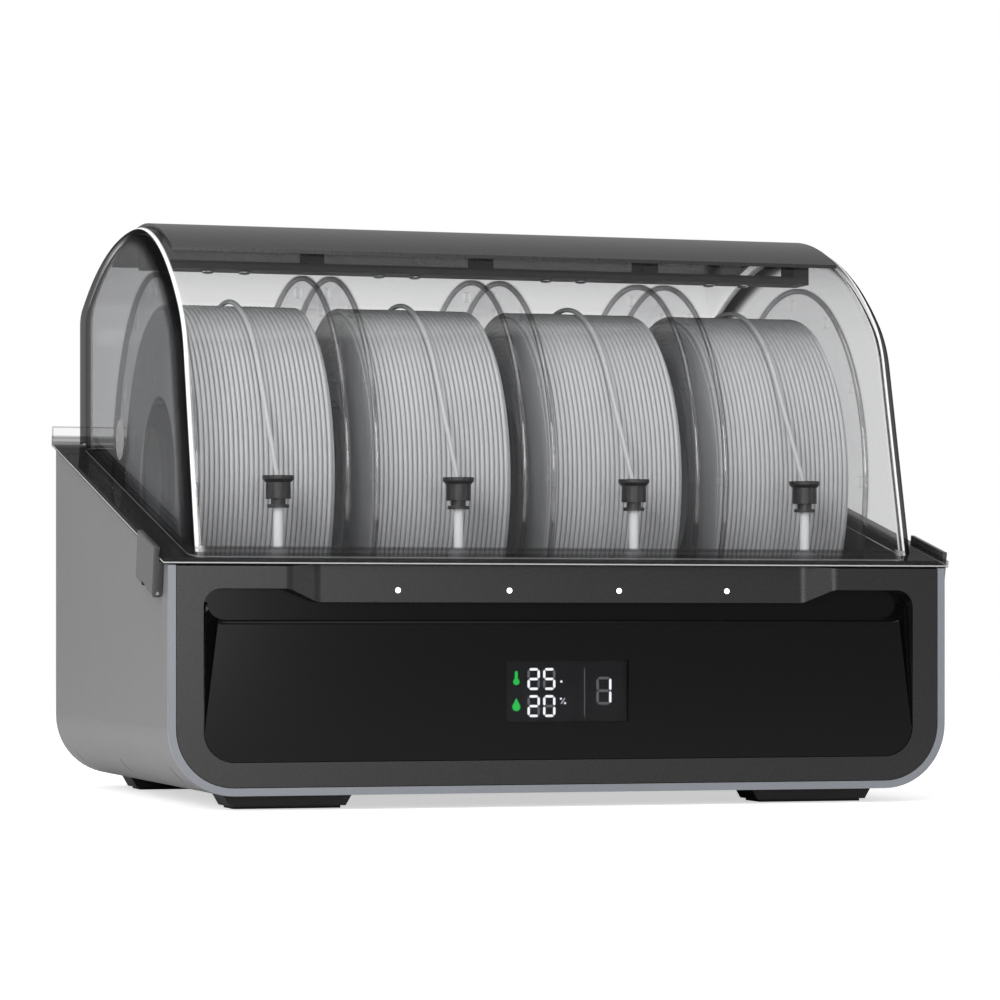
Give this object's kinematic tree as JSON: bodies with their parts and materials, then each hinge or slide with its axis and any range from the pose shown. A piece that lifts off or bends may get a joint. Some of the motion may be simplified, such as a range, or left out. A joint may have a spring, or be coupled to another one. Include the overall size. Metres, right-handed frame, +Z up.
{
  "type": "filament dryer box",
  "caption": "Filament dryer box: slanted grey body, clear domed hinged lid, spools turning on rollers over drive gears, inlet funnels, a front display panel and a rear tube outlet.",
  "frame": {"origin": "on the floor under the middle of the bounding box, foot pads at z = 0", "axes": "+Z up, the front panel faces -Y, the outlet coupling leaves along +Y, +X to the right seen from the front"},
  "size_m": [0.3796, 0.314, 0.276],
  "materials": {
    "shell_grey": "satin moulded plastic",
    "trim_pale": "satin moulded plastic",
    "bezel_dark": "satin moulded plastic",
    "panel_black": "glossy",
    "lens_smoked": "glossy, see-through",
    "board_green": "circuit board",
    "lamp_white": "lit lens",
    "tray_dark": "matt moulded plastic",
    "foot_black": "matt",
    "pad_rubber": "soft",
    "seal_rubber": "soft",
    "hinge_dark": "satin",
    "pin_steel": "turned",
    "lid_clear": "smoky clear",
    "cover_dark": "satin",
    "spool_clear": "clear",
    "filament_silver": "silky",
    "roller_grey": "satin",
    "funnel_black": "satin",
    "tube_white": "milky",
    "grommet_grey": "soft",
    "motor_steel": "drawn can",
    "gear_brass": "cut",
    "coupling_black": "satin",
    "socket_black": "satin",
    "dry_box_white": "satin"
  },
  "bodies": {
    "housing": {"outer_shell": "shell_grey", "front_trim": "trim_pale", "front_bezel": "bezel_dark", "rear_panel": "bezel_dark", "front_panel": "panel_black", "display_window": "lens_smoked", "display_board": "board_green", "main_board": "board_green", "light_pipes": "lamp_white", "spool_tray": "tray_dark", "roller_brackets": "tray_dark", "foot_blocks": "foot_black", "foot_pads": "pad_rubber", "lid_seal": "seal_rubber", "hinge_brackets": "hinge_dark", "hinge_pins": "pin_steel", "filament_leads": "filament_silver", "inlet_funnels": "funnel_black", "feeder_frames": "funnel_black", "merge_hub": "funnel_black", "feed_tubes": "tube_white", "hub_tubes": "tube_white", "tube_grommets": "grommet_grey", "feed_motors": "motor_steel", "outlet_coupling": "coupling_black", "data_sockets": "socket_black", "desiccant_boxes": "dry_box_white", "desiccant_covers": "dry_box_white"},
    "lid": {"lid_shell": "lid_clear", "lid_cover": "cover_dark", "lid_rail": "cover_dark", "lid_knuckles": "hinge_dark"},
    "latch_left": {"latch_left": "shell_grey"},
    "latch_right": {"latch_right": "shell_grey"},
    "spool_1": {"spool_1": "spool_clear", "winding_1": "filament_silver"},
    "spool_2": {"spool_2": "spool_clear", "winding_2": "filament_silver"},
    "spool_3": {"spool_3": "spool_clear", "winding_3": "filament_silver"},
    "spool_4": {"spool_4": "spool_clear", "winding_4": "filament_silver"},
    "roller_1_front": {"roller_1_front": "roller_grey"},
    "roller_1_rear": {"roller_1_rear": "roller_grey"},
    "drive_gear_1": {"drive_gear_1": "gear_brass"},
    "roller_2_front": {"roller_2_front": "roller_grey"},
    "roller_2_rear": {"roller_2_rear": "roller_grey"},
    "drive_gear_2": {"drive_gear_2": "gear_brass"},
    "roller_3_front": {"roller_3_front": "roller_grey"},
    "roller_3_rear": {"roller_3_rear": "roller_grey"},
    "drive_gear_3": {"drive_gear_3": "gear_brass"},
    "roller_4_front": {"roller_4_front": "roller_grey"},
    "roller_4_rear": {"roller_4_rear": "roller_grey"},
    "drive_gear_4": {"drive_gear_4": "gear_brass"}
  },
  "joints": [
    {"name": "lid_hinge", "type": "hinge", "parent": "housing", "child": "lid", "pos_m": [0, 0.1375, 0.177], "axis": [-1, 0, 0], "range_deg": [0, 95]},
    {"name": "latch_left_pivot", "type": "hinge", "parent": "housing", "child": "latch_left", "pos_m": [-0.1872, -0.1254, 0.10098], "axis": [0, -0.9753, -0.2209], "range_deg": [0, 60]},
    {"name": "latch_right_pivot", "type": "hinge", "parent": "housing", "child": "latch_right", "pos_m": [0.1872, -0.1254, 0.10098], "axis": [0, 0.9753, 0.2209], "range_deg": [0, 60]},
    {"name": "spool_1_spin", "type": "hinge", "parent": "housing", "child": "spool_1", "pos_m": [-0.1275, -0.014, 0.1515], "axis": [1, 0, 0], "continuous": true},
    {"name": "spool_2_spin", "type": "hinge", "parent": "housing", "child": "spool_2", "pos_m": [-0.0425, -0.014, 0.1515], "axis": [1, 0, 0], "continuous": true},
    {"name": "spool_3_spin", "type": "hinge", "parent": "housing", "child": "spool_3", "pos_m": [0.0425, -0.014, 0.1515], "axis": [1, 0, 0], "continuous": true},
    {"name": "spool_4_spin", "type": "hinge", "parent": "housing", "child": "spool_4", "pos_m": [0.1275, -0.014, 0.1515], "axis": [1, 0, 0], "continuous": true},
    {"name": "roller_1_front_spin", "type": "hinge", "parent": "housing", "child": "roller_1_front", "pos_m": [-0.1275, -0.08068, 0.06616], "axis": [1, 0, 0], "continuous": true},
    {"name": "roller_1_rear_spin", "type": "hinge", "parent": "housing", "child": "roller_1_rear", "pos_m": [-0.1275, 0.05268, 0.06616], "axis": [1, 0, 0], "continuous": true},
    {"name": "drive_gear_1_spin", "type": "hinge", "parent": "housing", "child": "drive_gear_1", "pos_m": [-0.12025, -0.12225, 0.077], "axis": [0, 1, 0], "continuous": true},
    {"name": "roller_2_front_spin", "type": "hinge", "parent": "housing", "child": "roller_2_front", "pos_m": [-0.0425, -0.08068, 0.06616], "axis": [1, 0, 0], "continuous": true},
    {"name": "roller_2_rear_spin", "type": "hinge", "parent": "housing", "child": "roller_2_rear", "pos_m": [-0.0425, 0.05268, 0.06616], "axis": [1, 0, 0], "continuous": true},
    {"name": "drive_gear_2_spin", "type": "hinge", "parent": "housing", "child": "drive_gear_2", "pos_m": [-0.03525, -0.12225, 0.077], "axis": [0, 1, 0], "continuous": true},
    {"name": "roller_3_front_spin", "type": "hinge", "parent": "housing", "child": "roller_3_front", "pos_m": [0.0425, -0.08068, 0.06616], "axis": [1, 0, 0], "continuous": true},
    {"name": "roller_3_rear_spin", "type": "hinge", "parent": "housing", "child": "roller_3_rear", "pos_m": [0.0425, 0.05268, 0.06616], "axis": [1, 0, 0], "continuous": true},
    {"name": "drive_gear_3_spin", "type": "hinge", "parent": "housing", "child": "drive_gear_3", "pos_m": [0.04975, -0.12225, 0.077], "axis": [0, 1, 0], "continuous": true},
    {"name": "roller_4_front_spin", "type": "hinge", "parent": "housing", "child": "roller_4_front", "pos_m": [0.1275, -0.08068, 0.06616], "axis": [1, 0, 0], "continuous": true},
    {"name": "roller_4_rear_spin", "type": "hinge", "parent": "housing", "child": "roller_4_rear", "pos_m": [0.1275, 0.05268, 0.06616], "axis": [1, 0, 0], "continuous": true},
    {"name": "drive_gear_4_spin", "type": "hinge", "parent": "housing", "child": "drive_gear_4", "pos_m": [0.13475, -0.12225, 0.077], "axis": [0, 1, 0], "continuous": true}
  ],
  "couplings": [
    {"joint": "roller_1_front_spin", "follows": "spool_1_spin", "ratio": -12.5},
    {"joint": "roller_1_rear_spin", "follows": "spool_1_spin", "ratio": -12.5},
    {"joint": "drive_gear_1_spin", "follows": "spool_1_spin", "ratio": -14.17},
    {"joint": "roller_2_front_spin", "follows": "spool_2_spin", "ratio": -12.5},
    {"joint": "roller_2_rear_spin", "follows": "spool_2_spin", "ratio": -12.5},
    {"joint": "drive_gear_2_spin", "follows": "spool_2_spin", "ratio": -14.17},
    {"joint": "roller_3_front_spin", "follows": "spool_3_spin", "ratio": -12.5},
    {"joint": "roller_3_rear_spin", "follows": "spool_3_spin", "ratio": -12.5},
    {"joint": "drive_gear_3_spin", "follows": "spool_3_spin", "ratio": -14.17},
    {"joint": "roller_4_front_spin", "follows": "spool_4_spin", "ratio": -12.5},
    {"joint": "roller_4_rear_spin", "follows": "spool_4_spin", "ratio": -12.5},
    {"joint": "drive_gear_4_spin", "follows": "spool_4_spin", "ratio": -14.17}
  ]
}
